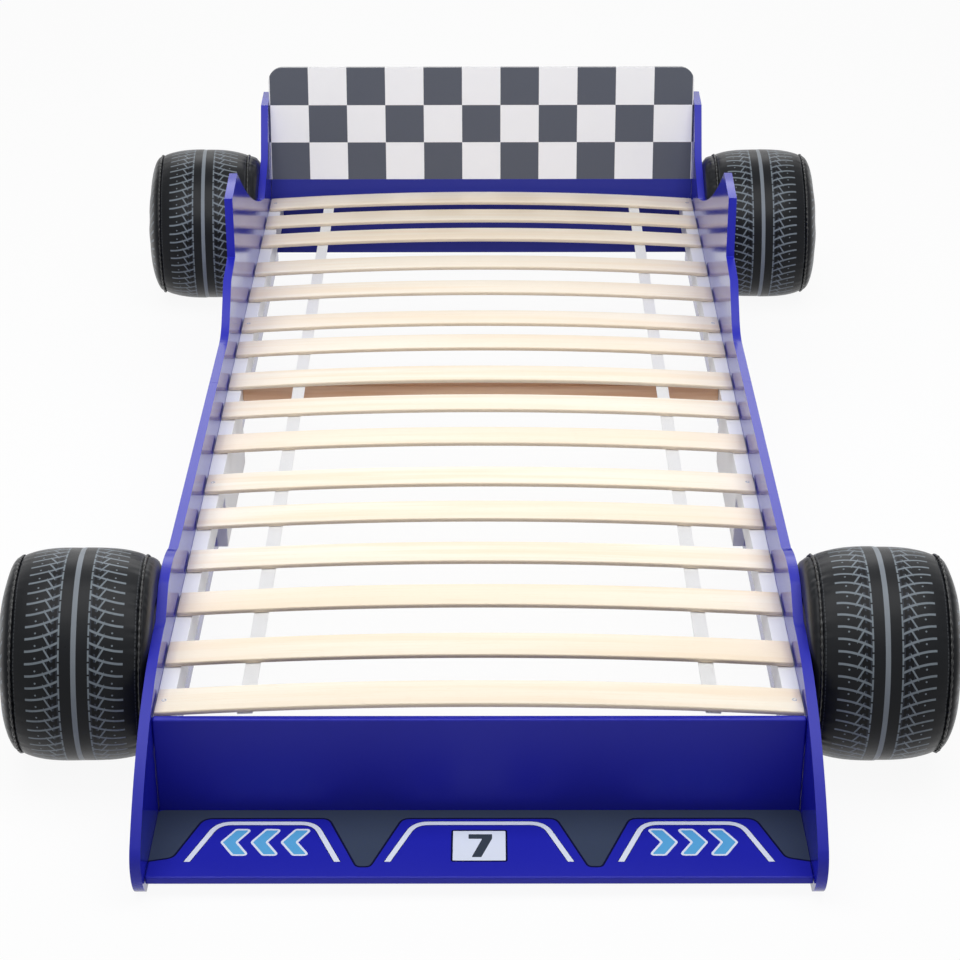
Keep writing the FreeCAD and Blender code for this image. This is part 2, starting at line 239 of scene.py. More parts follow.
def checker_material():
    """Blue lacquered board with a checker print on its front, which wraps round its edges."""
    shader = Shader("headboard_checker", IOR=LACQUER_IOR)
    place, rough, normal = lacquer_skin(shader)
    x, _, z = shader.axes(place)
    facing = shader.axes(shader.place("Normal"))[1]
    climb = shader.math("DIVIDE", shader.minus(z, SEAT), math.cos(HEADBOARD_LEAN))
    column = shader.math("DIVIDE", shader.minus(x, CHECKER_LEFT), CHECKER_COLUMN)
    row = shader.math("DIVIDE", shader.minus(climb, CHECKER_FOOT), CHECKER_ROW)
    total = shader.plus(shader.math("FLOOR", column), shader.math("FLOOR", row))
    odd = shader.math("MODULO", shader.plus(total, CHECKER_LIFT), 2.0)
    speckle = shader.noise(place, scale=900.0, detail=1.0)
    grey = shader.mix(speckle, rgb(82, 86, 97), rgb(90, 94, 105))
    white = shader.mix(speckle, rgb(246, 246, 249), rgb(250, 250, 252))
    checker = shader.mix(odd, grey, white)
    above = shader.step(climb, CHECKER_FOOT - CHECKER_EDGE, CHECKER_FOOT + CHECKER_EDGE)
    printed = shader.step(facing, 0.95, 0.90)
    # below and behind the print the board takes the darker blue, as painted shade
    colour = shader.mix(shader.times(above, printed), HEADBOARD_SHADED_BLUE, checker)
    return shader.finish(Base_Color=colour, Roughness=rough, Normal=normal)


def melamine_material():
    """White foil on rails and splice plates, with a faint printed texture."""
    shader = Shader("white_melamine", IOR=1.5)
    place = shader.place()
    fibre = shader.grain(place, (300.0, 12.0, 300.0), detail=3.0)
    cloud = shader.noise(place, scale=14.0)
    colour = shader.mix(cloud, rgb(233, 234, 238), rgb(240, 240, 242))
    rough = shader.vary(fibre, base=0.32, spread=0.15)
    return shader.finish(Base_Color=colour, Roughness=rough, Normal=shader.bump(fibre, 0.00006))


RING_SCALES = (34.0, 1.6)  # of the growth lines: across the timber, and along it
PORE_SCALES = (900.0, 22.0)


def timber_material(name, pale, dark, along):
    """Planed timber or plywood: growth lines that run along one axis, with fine pores."""
    def scales(across, lengthwise):
        return [lengthwise if axis == along else across for axis in range(3)]

    shader = Shader(name, IOR=1.45)
    place = shader.place()
    ring = shader.grain(place, scales(*RING_SCALES), detail=4.0, roughness=0.6)
    pore = shader.grain(place, scales(*PORE_SCALES), detail=2.0)
    colour = shader.ramp(ring, (0.3, pale), (0.5, dark), (0.62, pale))
    pores = shader.times(shader.step(pore, 0.55, 0.72), 0.25)
    colour = shader.mix(pores, colour, dark)
    rough = shader.vary(pore, base=0.45, spread=0.2)
    return shader.finish(Base_Color=colour, Roughness=rough, Normal=shader.bump(pore, 0.00012))


PLY_LAYERS = 6.0


def slat_material():
    """Moulded birch slat. The map runs along the slat and round its section; ply tells its layers."""
    shader = Shader("birch_slat", IOR=1.48, Coat_Weight=0.25, Coat_Roughness=0.3)
    grain_place = shader.place("UV")
    place = shader.place()
    figure = shader.grain(grain_place, (1.3, 38.0, 1.0), detail=4.0, roughness=0.55)
    streak = shader.grain(grain_place, (7.0, 620.0, 1.0), detail=3.0, roughness=0.6)
    pore = shader.grain(grain_place, (70.0, 1500.0, 1.0), detail=1.0)
    tone = shader.grain(place, (0.9, 5.0, 0.0), detail=1.0)
    pale = shader.mix(shader.step(tone, 0.3, 0.7), rgb(249, 241, 225), rgb(245, 229, 206))
    colour = shader.mix(shader.step(figure, 0.42, 0.68), pale, rgb(243, 225, 199))
    lines = shader.times(shader.step(streak, 0.5, 0.75), 0.35)
    colour = shader.mix(lines, colour, rgb(231, 207, 173))
    dots = shader.times(shader.step(pore, 0.62, 0.78), 0.3)
    colour = shader.mix(dots, colour, rgb(212, 182, 143))
    ply = shader.add("Attribute", attribute_name="ply").outputs["Color"]
    depth, side, _ = shader.axes(ply)
    layer = shader.math("PINGPONG", shader.times(depth, PLY_LAYERS), 1.0)
    edge = shader.mix(shader.step(layer, 0.25, 0.75), rgb(236, 220, 196), rgb(218, 198, 168))
    colour = shader.mix(shader.times(side, 0.85), colour, edge)
    rough = shader.vary(streak, base=0.34, spread=0.22)
    normal = shader.bump(streak, distance=0.00005, strength=0.7)
    return shader.finish(Base_Color=colour, Roughness=rough, Normal=normal)


WARP_PITCH = 0.0022
WEFT_PITCH = 0.0014


def webbing_material():
    """White woven strap: ribs along it and a fine weft across."""
    shader = Shader("white_webbing", IOR=1.46, Sheen_Weight=0.3, Sheen_Roughness=0.5)
    place = shader.place()
    x, y, _ = shader.axes(place)
    warp = shader.math("SINE", shader.times(x, 2 * math.pi / WARP_PITCH))
    weft = shader.math("SINE", shader.times(y, 2 * math.pi / WEFT_PITCH))
    weave = shader.times(warp, weft)
    fuzz = shader.noise(place, scale=700.0)
    colour = shader.mix(shader.step(weave, -0.6, 0.6), rgb(236, 236, 236), rgb(250, 250, 250))
    colour = shader.mix(shader.times(fuzz, 0.2), colour, rgb(228, 229, 232))
    return shader.finish(Base_Color=colour, Roughness=0.85, Normal=shader.bump(weave, 0.0003, 0.8))


def steel_material():
    """Zinc-plated steel, its crystals a little lighter and darker."""
    shader = Shader("zinc_steel", Metallic=1.0)
    place = shader.place()
    patch = shader.add("TexVoronoi", {"Vector": place, "Scale": 600.0}).outputs["Color"]
    tint = shader.axes(patch)[0]
    colour = shader.mix(tint, rgb(176, 178, 184), rgb(206, 208, 212))
    return shader.finish(Base_Color=colour, Roughness=shader.vary(tint, base=0.28, spread=0.15))


def vinyl_material(name, colour, second):
    """Printed vinyl film on the nose tray."""
    shader = Shader(name, IOR=LACQUER_IOR)
    place = shader.place()
    cloud = shader.noise(place, scale=9.0)
    grain = shader.noise(place, scale=160.0, detail=3.0)
    peel = shader.noise(place, scale=520.0, detail=1.0)
    film = shader.mix(cloud, colour, second)
    rough = shader.vary(grain, base=0.14, spread=0.05)
    return shader.finish(Base_Color=film, Roughness=rough, Normal=shader.bump(peel, 0.00002))


# ======== wheel materials

# across the tread: millimetres from its centre plane
STRIPE_HALF = 3.7
BAND_EDGE = 22.4
BAND_WIDTH = 2.4
SPIKE_END = 31.9
KNEE = 43.2
DOT_LINE = 54.8
RIB_END = 70.0
BLOCK_UPRIGHTS = ((24.4, 29.0), (31.6, 37.0))
BLOCK_BAR = (28.0, 33.0)
BLOCK_FIELD = (23.4, 38.0)
STITCH_LINE = (86.2, 87.4)
PRINT_SOFT = 0.4  # blur to each side of an edge, and a finer one
FINE_SOFT = 0.3

# round the tread: rib pitches. A line fades out from its second number to its first
RIBS = 54
TREAD_RADIUS = 157.0  # millimetres
RIB_SWEEP = 0.68  # how far a rib bends on its way inwards
RIB_BEND = 1.9  # the power by which it bends
RIB_LINE = (0.115, 0.07)
STROKE_SWEEP = 0.98
STROKE_START = 0.25
STROKE_LINE = (0.15, 0.10)
NOTCH_START = 0.16
NOTCH_LINE = (0.05, 0.09)  # a gap, so it fades the other way
DOT_START = 0.45
DOT_SQUARES = (2.8, 1.0)  # squares of a dot's radius, in millimetres
UPRIGHT_LINE = (0.40, 0.35)
BAR_LINE = (0.20, 0.15)
FIELD_LINE = (0.46, 0.40)
DASHES = 3.0  # for each rib
DASH_GAP = (0.12, 0.2)  # a gap too, in pitches of the dashes

# outer face: millimetres from the axis
SIDEWALL = (104.0, 134.0)
SIDEWALL_STROKES = 44
SIDEWALL_LINE = (0.16, 0.11)  # in pitches of the strokes
SIDEWALL_SLANT = 0.004  # radians for each millimetre
SPOKES = 10
SPOKE_SPAN = (30.0, 84.0)
SPOKE_LINE = (9.0, 8.0)  # half of a spoke's width
RIM_RINGS = ((92.0, 97.0), (20.0, 24.0))
FACE_START = (0.0935, 0.0945)  # metres outwards from the tread's centre plane


def bent_ribs(shader, across, rib):
    """The place round the tread, bent so that each rib sweeps ever more on its way inwards."""
    inward = shader.math("DIVIDE", shader.minus(RIB_END, across), RIB_END - BAND_EDGE, clamp=True)
    return shader.plus(rib, shader.times(shader.math("POWER", inward, RIB_BEND), RIB_SWEEP))


def tread_lines(shader, across, rib, bent):
    """Mask of the printed lines: ribs, the strokes that cross them, a notched border and dots."""
    ribs = shader.step(shader.nearest(bent), *RIB_LINE)
    ribs = shader.times(ribs, shader.between(across, BAND_EDGE - 1.0, RIB_END, PRINT_SOFT))
    # from its knee a stroke runs back across the next rib and ends in a short spike
    turned = shader.math("DIVIDE", shader.minus(KNEE, across), KNEE - SPIKE_END)
    turned = shader.minus(rib, shader.times(turned, STROKE_SWEEP))
    strokes = shader.step(shader.nearest(shader.plus(turned, STROKE_START)), *STROKE_LINE)
    strokes = shader.times(strokes, shader.between(across, SPIKE_END, KNEE + 0.6, PRINT_SOFT))
    border = shader.step(shader.nearest(shader.plus(rib, NOTCH_START)), *NOTCH_LINE)
    border = shader.times(border, shader.between(across, BAND_EDGE - BAND_WIDTH, BAND_EDGE, FINE_SOFT))
    along = shader.nearest(shader.plus(rib, DOT_START))
    along = shader.times(along, 2 * math.pi * TREAD_RADIUS / RIBS)
    beside = shader.minus(across, DOT_LINE)
    reach = shader.plus(shader.times(along, along), shader.times(beside, beside))
    return shader.most(shader.step(reach, *DOT_SQUARES), ribs, strokes, border)


def tread_blocks(shader, across, bent):
    """Masks of what lies between two ribs: a dark block of two uprights and a bar, and its field."""
    middle = shader.nearest(shader.plus(bent, 0.5))
    uprights = shader.most(*[shader.between(across, *zone, FINE_SOFT) for zone in BLOCK_UPRIGHTS])
    uprights = shader.times(uprights, shader.step(middle, *UPRIGHT_LINE))
    bar = shader.times(shader.between(across, *BLOCK_BAR, FINE_SOFT), shader.step(middle, *BAR_LINE))
    field = shader.between(across, *BLOCK_FIELD, PRINT_SOFT)
    return shader.most(uprights, bar), shader.times(field, shader.step(middle, *FIELD_LINE))


def rim_print(shader, radius, turn):
    """Mask of the outer face: slanted strokes on the sidewall and a rim of plain spokes."""
    def repeat(angle, count):
        return shader.nearest(shader.times(angle, count / (2 * math.pi)))

    slant = shader.times(shader.minus(radius, SIDEWALL[0]), SIDEWALL_SLANT)
    hatch = shader.step(repeat(shader.plus(turn, slant), SIDEWALL_STROKES), *SIDEWALL_LINE)
    hatch = shader.times(hatch, shader.between(radius, *SIDEWALL, soft=0.6))
    spokes = shader.step(shader.times(repeat(turn, SPOKES), radius), *SPOKE_LINE)
    spokes = shader.times(spokes, shader.between(radius, *SPOKE_SPAN, soft=0.5))
    rings = [shader.between(radius, *ring, soft=0.5) for ring in RIM_RINGS]
    return shader.most(hatch, spokes, *rings)


def tyre_print(shader):
    """Masks of a wheel's print, laid out by the "flat" attribute, its shape before it leans."""
    x, y, z = shader.axes(shader.add("Attribute", attribute_name="flat").outputs["Vector"])
    across = shader.times(shader.math("ABSOLUTE", x), 1 / MM)
    turn = shader.math("ARCTAN2", z, shader.times(y, -1.0))
    rib = shader.times(turn, RIBS / (2 * math.pi))
    squares = shader.plus(shader.times(y, y), shader.times(z, z))
    radius = shader.times(shader.math("SQRT", squares), 1 / MM)
    bent = bent_ribs(shader, across, rib)
    tread = tread_lines(shader, across, rib, bent)
    blocks, field = tread_blocks(shader, across, bent)
    face = shader.times(shader.step(x, *FACE_START), rim_print(shader, radius, turn))
    stripe = shader.step(across, STRIPE_HALF + FINE_SOFT, STRIPE_HALF - FINE_SOFT)
    stitch = shader.step(shader.nearest(shader.times(rib, DASHES)), *DASH_GAP)
    stitch = shader.times(stitch, shader.between(across, *STITCH_LINE, soft=0.25))
    return field, blocks, shader.most(tread, face), stripe, stitch


def tyre_material():
    """Black leatherette with a printed tread and rim."""
    shader = Shader("tyre_leatherette", IOR=1.23)
    place = shader.place()
    field, blocks, lines, stripe, stitch = tyre_print(shader)
    fade = shader.noise(place, scale=60.0, detail=3.0)
    black = shader.mix(shader.noise(place, scale=18.0, detail=3.0), rgb(18, 20, 23), rgb(25, 27, 31))
    colour = shader.mix(shader.times(field, 0.7), black, rgb(56, 62, 74))
    colour = shader.mix(blocks, colour, rgb(5, 7, 12))
    colour = shader.mix(lines, colour, shader.mix(fade, rgb(112, 121, 129), rgb(127, 136, 144)))
    colour = shader.mix(stripe, colour, rgb(126, 133, 141))
    colour = shader.mix(stitch, colour, rgb(70, 73, 77))
    cells = shader.add("TexVoronoi", {"Vector": place, "Scale": 620.0}, feature="DISTANCE_TO_EDGE")
    grain = shader.step(cells.outputs["Distance"], 0.0, 0.25)
    crease = shader.noise(place, scale=75.0, detail=4.0, roughness=0.6)
    rough = shader.vary(crease, base=0.24, spread=0.12)
    rough = shader.plus(rough, shader.times(lines, 0.1))
    normal = shader.bump(crease, distance=0.0006, strength=0.3)
    normal = shader.bump(grain, distance=0.00010, strength=0.4, normal=normal)
    return shader.finish(Base_Color=colour, Roughness=rough, Normal=normal)


def piping_material():
    """Black gathered leatherette over the cord in a wheel's seams."""
    shader = Shader("black_piping", IOR=1.45)
    folds_and_shade = shader.noise(shader.place(), scale=260.0, detail=3.0)
    # darker in the hollows of the folds and lighter on their crests: painted shade
    colour = shader.mix(folds_and_shade, rgb(9, 10, 12), rgb(24, 26, 28))
    return shader.finish(Base_Color=colour, Roughness=0.26, Normal=shader.bump(folds_and_shade, 0.0005, 0.6))


MATERIALS = {
    "lacquer": lacquer_material(),
    "checker": checker_material(),
    "melamine": melamine_material(),
    "beam": timber_material("pine_beam", rgb(240, 201, 168), rgb(226, 178, 142), along=0),
    # raw plywood darkened as painted shade, like all that shows in the shade behind the wheels
    "plywood": timber_material("hub_plywood_painted_shade", rgb(52, 48, 50), rgb(36, 34, 38), along=1),
    "slat": slat_material(),
    "webbing": webbing_material(),
    "steel": steel_material(),
    "tyre": tyre_material(),
    "piping": piping_material(),
    "decal_grey": vinyl_material("decal_grey", rgb(60, 70, 88), rgb(64, 75, 92)),
    "decal_line": vinyl_material("decal_line", rgb(228, 236, 251), rgb(236, 242, 253)),
    "decal_dark": vinyl_material("decal_dark", rgb(16, 18, 48), rgb(20, 22, 56)),
    "decal_sky": vinyl_material("decal_sky", rgb(92, 172, 224), rgb(100, 180, 230)),
    "decal_ink": vinyl_material("decal_ink", rgb(58, 66, 74), rgb(64, 72, 80)),
}


# ======== carried-over boards

def smoothing_group():
    """Geometry nodes that shade a board's rounded edges smooth."""
    tree = bpy.data.node_groups.new("shade_smooth", "GeometryNodeTree")
    tree.interface.new_socket("Geometry", in_out="INPUT", socket_type="NodeSocketGeometry")
    tree.interface.new_socket("Geometry", in_out="OUTPUT", socket_type="NodeSocketGeometry")
    start = tree.nodes.new("NodeGroupInput")
    smooth = tree.nodes.new("GeometryNodeSetShadeSmooth")
    end = tree.nodes.new("NodeGroupOutput")
    tree.links.new(start.outputs[0], smooth.inputs[0])
    tree.links.new(smooth.outputs[0], end.inputs[0])
    return tree


SMOOTHING = smoothing_group()
WELD_REACH = 0.02 * MM
FLAT_ANGLE = math.radians(0.5)  # facets that turn by less than this are one flat face
SHARP_ANGLE = math.radians(50)  # edges that turn by more than this are eased
EDGE_SEGMENTS = 3
FACE_WEIGHT = 100  # large faces stay flat right up to their eased edges


def ease_edges(obj, width):
    """Rounds the sharp edges of a board by a small radius, leaving its mesh as it is."""
    weld = obj.modifiers.new("weld", "WELD")
    weld.merge_threshold = WELD_REACH
    flatten = obj.modifiers.new("whole_faces", "DECIMATE")
    flatten.decimate_type = "DISSOLVE"
    flatten.angle_limit = FLAT_ANGLE
    bevel = obj.modifiers.new("eased_edges", "BEVEL")
    bevel.width = width
    bevel.segments = EDGE_SEGMENTS
    bevel.limit_method = "ANGLE"
    bevel.angle_limit = SHARP_ANGLE
    smooth = obj.modifiers.new("smooth", "NODES")
    smooth.node_group = SMOOTHING
    normals = obj.modifiers.new("normals", "WEIGHTED_NORMAL")
    normals.weight = FACE_WEIGHT


# start of the nodes' names: their material, and the radius of their edges in metres
NODE_FINISH = {
    "side_panel": ("lacquer", 0.0028),
    "footboard": ("lacquer", 0.0028),
    "nose_tray": ("lacquer", 0.0024),
    "headboard": ("checker", 0.0014),
    "rail": ("melamine", 0.0008),
    "splice_plate": ("melamine", 0.0008),
    "cross_beam": ("beam", 0.0012),
    # the hubs take the plywood darkened as painted shade
    "wheel_hub": ("plywood", 0.0006),
    "wheel_bolts": ("steel", 0.0004),
    "beam_brackets": ("steel", 0.0003),
}


def finish_nodes():
    for name, node in NODES.items():
        for start, (finish, edge) in NODE_FINISH.items():
            if name.startswith(start):
                for material_slot in node.material_slots:
                    material_slot.material = MATERIALS[finish]
                ease_edges(node, edge)


# ======== mesh helpers

def add_object(name, data, place):
    obj = bpy.data.objects.new(name, data)
    obj.location = place
    bpy.context.scene.collection.objects.link(obj)
    return obj


def new_piece(name, verts, faces, material, smooth=True, centre=(0, 0, 0)):
    mesh = bpy.data.meshes.new(name)
    mesh.from_pydata(verts, [], faces)
    mesh.materials.append(MATERIALS[material])
    mesh.polygons.foreach_set("use_smooth", [smooth] * len(mesh.polygons))
    mesh.update()
    obj = add_object(name, mesh, centre)
    return obj


def tube_faces(rings, around, closed=False, start=0):
    """Quads between successive rings of vertices, the first of which is number start."""
    faces = []
    last = rings if closed else rings - 1
    for ring in range(last):
        here = start + ring * around
        there = start + (ring + 1) % rings * around
        for k in range(around):
            after = (k + 1) % around
            faces.append((here + k, here + after, there + after, there + k))
    return faces


def capped_tube(rings, around, flip=False):
    """The same with a face at each end, and turned inside out where flip is set."""
    faces = tube_faces(rings, around)
    end = (rings - 1) * around
    faces.append(tuple(reversed(range(around))))
    faces.append(tuple(range(end, end + around)))
    return [tuple(reversed(face)) for face in faces] if flip else faces


# ======== slats

SLAT_THICKNESS = 8 * MM
SLAT_EDGE = 2.6 * MM  # radius of a slat's rounded long edges
SLAT_EASE = 0.8 * MM  # cut off round its ends
SLAT_STATIONS = 56
EDGE_STEPS = 5
GRAIN_SHIFT = (1.37, 0.31)  # metres along and round, from one slat's grain to the next's


def bow_of(lowest, highest):
    """How far a slat rises to its middle, and the radius of that bow."""
    bow = highest.z - lowest.z - SLAT_THICKNESS
    return bow, (highest.x ** 2 + bow ** 2) / (2 * bow)


def on_bow(base, bow, radius, x):
    """Height at x of a bow that starts from base at the slat's ends."""
    return base + bow - radius + math.sqrt(radius ** 2 - x ** 2)


def slat_section(width):
    """Rounded rectangle as (across, up, side) points, side being 1 on the narrow faces."""
    half = width / 2 - SLAT_EDGE
    rise = SLAT_THICKNESS / 2 - SLAT_EDGE
    points = []
    for quarter, (cx, cy) in enumerate(((half, rise), (-half, rise), (-half, -rise), (half, -rise))):
        for i in range(EDGE_STEPS + 1):
            turn = math.radians(90 * (quarter + i / EDGE_STEPS))
            across = cx + SLAT_EDGE * math.cos(turn)
            up = cy + SLAT_EDGE * math.sin(turn)
            points.append((across, up, math.cos(turn) ** 2))
    return points


def slat_stations(half):
    """Places along a slat from end to end, with one just inside each end."""
    stations = [half * (2 * i / SLAT_STATIONS - 1) for i in range(SLAT_STATIONS + 1)]
    return [-half, -half + SLAT_EASE] + stations[1:-1] + [half - SLAT_EASE, half]


def slat_verts(node, section):
    """Vertices of a slat, each with its depth among the layers and its share of the edge's look."""
    lowest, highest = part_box(node)
    bow, radius = bow_of(lowest, highest)
    middle_y = (lowest.y + highest.y) / 2
    stations = slat_stations(highest.x)
    verts, ply = [], []
    for i, x in enumerate(stations):
        end = i in (0, len(stations) - 1)
        inset = SLAT_EASE if end else 0
        shrink = 1 - 2 * inset / SLAT_THICKNESS
        centre_z = on_bow(lowest.z + SLAT_THICKNESS / 2, bow, radius, x)
        for across, up, side in section:
            edge = across - math.copysign(min(inset, abs(across)), across)
            verts.append((x, middle_y + edge, centre_z + up * shrink))
            ply.append((up / SLAT_THICKNESS + 0.5, 1.0 if end else side, 0.0, 1.0))
    return verts, ply


def map_grain(mesh, verts, section, number):
    """The grain's map, along the slat and round its section. It starts elsewhere on each slat."""
    girth = [0.0]
    for (a, b, _), (c, d, _) in zip(section, section[1:]):
        girth.append(girth[-1] + math.hypot(c - a, d - b))
    uv = mesh.uv_layers.new(name="grain")
    for loop in mesh.loops:
        along = verts[loop.vertex_index][0] + GRAIN_SHIFT[0] * number
        around = girth[loop.vertex_index % len(section)] + GRAIN_SHIFT[1] * number
        uv.data[loop.index].uv = (along, around)


def slat_piece(node, number):
    lowest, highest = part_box(node)
    section = slat_section(highest.y - lowest.y)
    verts, ply = slat_verts(node, section)
    faces = capped_tube(len(verts) // len(section), len(section), flip=True)
    obj = new_piece(f"{node}_moulded", verts, faces, "slat")
    attribute = obj.data.color_attributes.new("ply", "FLOAT_COLOR", "POINT")
    for i, value in enumerate(ply):
        attribute.data[i].color = value
    map_grain(obj.data, verts, section, number)
    for cap in obj.data.polygons[-2:]:
        cap.use_smooth = False
    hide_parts(node)
    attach(obj, "root")


# ======== screws

SCREWED_SLATS = ("slat_01", "slat_06", "slat_11", "slat_16")
SCREW_INSET = 11 * MM  # from a slat's end
SCREW_RADIUS = 3.6 * MM
SCREW_SIDES = 20
# section of a head, as shares of its radius and millimetres up
SCREW_PROFILE = ((0.0, -1.1), (0.42, -0.9), (0.5, 0.12), (0.86, 0.16), (1.0, 0.02), (1.0, -0.35))
DRIVE_REACH = 0.6  # the drive's arms cut into the head up to here
DRIVE_CUT = 0.35


def screw_mesh(verts, faces, centre, tilt):
    """Adds a countersunk head with a cross drive, its rim just proud of the surface at centre."""
    start = len(verts)
    for reach, height in SCREW_PROFILE:
        for k in range(SCREW_SIDES):
            turn = 2 * math.pi * k / SCREW_SIDES
            drive = 1 - DRIVE_CUT * (k % 5 in (2, 3)) if 0 < reach < DRIVE_REACH else 1
            offset = Vector((math.cos(turn) * reach * drive * SCREW_RADIUS,
                             math.sin(turn) * reach * drive * SCREW_RADIUS, height * MM))
            verts.append(tuple(centre + tilt @ offset))
    faces += tube_faces(len(SCREW_PROFILE), SCREW_SIDES, start=start)


def slat_screws():
    verts, faces = [], []
    for node in SCREWED_SLATS:
        lowest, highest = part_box(node)
        x = highest.x - SCREW_INSET
        bow, radius = bow_of(lowest, highest)
        z = on_bow(lowest.z + SLAT_THICKNESS, bow, radius, x)
        for side in (-1, 1):
            tilt = Matrix.Rotation(side * math.asin(x / radius), 3, "Y")
            centre = Vector((side * x, (lowest.y + highest.y) / 2, z))
            screw_mesh(verts, faces, centre, tilt)
    obj = new_piece("slat_screws", verts, faces, "steel")
    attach(obj, "root")


# ======== straps

STRAP_STEP = 6 * MM  # from one ring of vertices to the next
STRAP_SAG = 1.2 * MM
STRAP_THICKNESS = 1.5 * MM  # of the solid that it replaces
STRAP_HALF_THICK = 0.7 * MM
# section, as shares of the half width and the half thickness
STRAP_SECTION = ((-1.0, 0.0), (-0.97, 1.0), (0.97, 1.0), (1.0, 0.0), (0.97, -1.0), (-0.97, -1.0))
SLAT_GAPS = [(high(far).y, low(near).y) for near, far in zip(SLATS, SLATS[1:])]


def strap_dip(y):
    """0 under a slat, and up to 1 midway between two."""
    for start, end in SLAT_GAPS:
        if start < y < end:
            return math.sin(math.pi * (y - start) / (end - start))
    return 0.0


def strap_piece(node):
    """Flat webbing that dips a little between one slat and the next."""
    lowest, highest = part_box(node)
    side = 1 if lowest.x > 0 else -1
    centre_x = (lowest.x + highest.x) / 2
    centre_z = (lowest.z + highest.z) / 2
    half = (highest.x - lowest.x) / 2
    slope = side * (highest.z - lowest.z - STRAP_THICKNESS) / (2 * half)
    count = int((highest.y - lowest.y) / STRAP_STEP)
    verts = []
    for i in range(count + 1):
        y = lowest.y + (highest.y - lowest.y) * i / count
        sag = STRAP_SAG * strap_dip(y)
        for across, up in STRAP_SECTION:
            z = centre_z - slope * across * half
            verts.append((centre_x + across * half, y, z + up * STRAP_HALF_THICK - sag))
    faces = capped_tube(count + 1, len(STRAP_SECTION), flip=True)
    obj = new_piece(f"{node}_webbing", verts, faces, "webbing", smooth=False)
    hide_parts(node)
    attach(obj, "root")


# ======== outlines of the print

CORNER_STEPS = 6
STEEP = 0.5  # rise of a path, as a share of its length


def mirrored(points):
    return [(-p[0], *p[1:]) for p in reversed(points)]


def rounded(points, radius=0):
    """The outline with its corners rounded. A point may carry its own radius as a third number."""
    result = []
    count = len(points)
    for i, point in enumerate(points):
        here = Vector(point[:2])
        size = point[2] if len(point) > 2 else radius
        if size == 0:
            result.append(here)
            continue
        before = Vector(points[i - 1][:2]) - here
        after = Vector(points[(i + 1) % count][:2]) - here
        half = before.angle(after) / 2
        reach = min(size / math.tan(half), before.length / 2, after.length / 2)
        start = here + before.normalized() * reach
        end = here + after.normalized() * reach
        for step in range(CORNER_STEPS + 1):
            t = step / CORNER_STEPS
            result.append((1 - t) ** 2 * start + 2 * t * (1 - t) * here + t ** 2 * end)
    return result


def ribbon(path, width, closed=False):
    """Left and right edges of a stroke. A steep open end is cut parallel to the tray's edge."""
    left, right = [], []
    count = len(path)
    for i, point in enumerate(path):
        open_start = i == 0 and not closed
        open_end = i == count - 1 and not closed
        before = point if open_start else path[i - 1]
        after = point if open_end else path[(i + 1) % count]
        along = (after - before).normalized()
        side = Vector((-along.y, along.x)) * width / 2
        if (open_start or open_end) and abs(along.y) > STEEP:
            side = Vector((-width / 2 / along.y, 0))
        left.append(point + side)
        right.append(point - side)
    return left, right


def on_tray(points):
    """Points given in millimetres, right of centre and forward of the footboard, as places."""
    return [(p[0] * MM, TRAY_BACK - p[1] * MM) for p in points]


# ======== nose print

FILM = 0.15 * MM
OUTLINE_FILM = 1.3 * FILM
TOP_FILM = 1.6 * FILM


class Print:
    """Thin prisms of one colour on the tray, which together are one piece."""

    def __init__(self, name, material):
        self.name = name
        self.material = material
        self.verts = []
        self.faces = []

    def area(self, outline, thickness=FILM):
        """A filled outline."""
        loop = on_tray(outline)
        start = len(self.verts)
        count = len(loop)
        for height in (TRAY_TOP, TRAY_TOP + thickness):
            self.verts += [(x, y, height) for x, y in loop]
        self.faces.append(tuple(start + i for i in reversed(range(count))))
        self.faces.append(tuple(start + count + i for i in range(count)))
        for i in range(count):
            after = (i + 1) % count
            self.faces.append((start + i, start + after, start + count + after, start + count + i))

    def stroke(self, path, width, thickness=FILM, closed=False):
        """A stroke as a chain of short prisms sharing their ends."""
        left, right = ribbon(path, width, closed)
        top = TRAY_TOP + thickness
        start = len(self.verts)
        for a, b in zip(on_tray(left), on_tray(right)):
            self.verts += [(*a, TRAY_TOP), (*b, TRAY_TOP), (*b, top), (*a, top)]
        self.faces += tube_faces(len(left), 4, closed, start)
        if not closed:
            end = start + 4 * (len(left) - 1)
            self.faces.append((start + 3, start + 2, start + 1, start))
            self.faces.append((end, end + 1, end + 2, end + 3))

    def make(self):
        obj = new_piece(self.name, self.verts, self.faces, self.material, smooth=False)
        mesh = bmesh.new()
        mesh.from_mesh(obj.data)
        bmesh.ops.recalc_face_normals(mesh, faces=mesh.faces)
        mesh.to_mesh(obj.data)
        mesh.free()
        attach(obj, "root")


# millimetres right of centre, forward of the footboard, and a corner's radius where there is a third.
# half of the grey band's front edge, from the middle outwards
BAND_HALF = ((109.0, 22.0, 16.0), (150.2, 132.3, 9.0), (169.3, 132.3, 9.0), (213.1, 22.0, 16.0),
             (390.7, 22.0, 20.0), (424.0, 112.0, 16.0), (457.0, 120.0, 0.0))
BAND_BACK = ((457.0, 2.0, 9.0), (-457.0, 2.0, 9.0))
BAND_OUTLINE = 2.8
ARCH_INNER = ((196.0, 121.2, 0), (232.5, 33.4), (368.6, 33.4), (403.7, 121.2, 0))
ARCH_CENTRE = ((-126.8, 121.2, 0), (-91.0, 33.4), (91.0, 33.4), (126.8, 121.2, 0))
ARCH_CORNER = 30.0
LINE_WIDTH = 7.8
OUTLINE_WIDTH = 0.8
PLATE = ((-38.0, 50.2), (38.0, 50.2), (38.0, 119.9), (-38.0, 119.9))
PLATE_CORNER = 2.5
PLATE_OUTLINE = 2.6
NUMBER = ((-15.0, 59.0), (18.0, 59.0), (18.0, 69.0), (3.0, 111.0), (-10.5, 111.0), (4.0, 69.5),
          (-15.0, 69.5))
NUMBER_CORNER = 1.2
